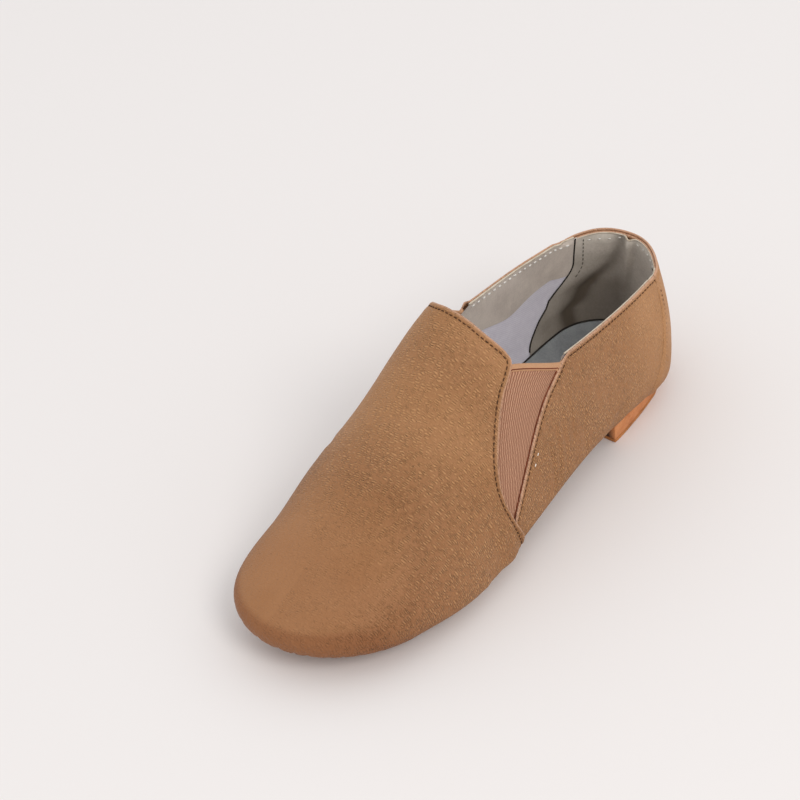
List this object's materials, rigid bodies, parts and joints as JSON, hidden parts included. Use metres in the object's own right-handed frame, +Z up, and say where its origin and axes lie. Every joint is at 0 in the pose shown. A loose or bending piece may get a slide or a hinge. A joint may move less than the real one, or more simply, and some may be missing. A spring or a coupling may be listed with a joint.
{
  "type": "jazz shoe",
  "caption": "Low slip-on jazz dance shoe for the left foot: soft hollow leather upper with elastic side gores, split sole and low stacked heel.",
  "frame": {"origin": "on the floor under the middle of the heel, on the underside of the heel's rubber top piece", "axes": "+X from heel to toe, +Y to the outer side of the foot (the wearer's left), +Z up"},
  "size_m": [0.2386, 0.0859, 0.0921],
  "materials": {
    "upper_leather": "tan soft leather with a fine pebbled grain, semi-matt",
    "gore_elastic": "ribbed knitted elastic, matt",
    "binding_leather": "folded thin leather edge, semi-matt",
    "insole_felt": "blue-grey brushed felt, matt",
    "outsole_suede": "brown suede, matt",
    "heel_stack": "stacked leather heel, stained orange tan, satin",
    "heel_rubber": "brown rubber, matt"
  },
  "bodies": {
    "root": {"upper": "upper_leather", "gore_outer": "gore_elastic", "gore_inner": "gore_elastic", "gore_binding_outer": "binding_leather", "gore_binding_inner": "binding_leather", "insole": "insole_felt", "outsole_forepart": "outsole_suede", "heel": "heel_stack", "heel_top_piece": "heel_rubber"}
  },
  "joints": []
}
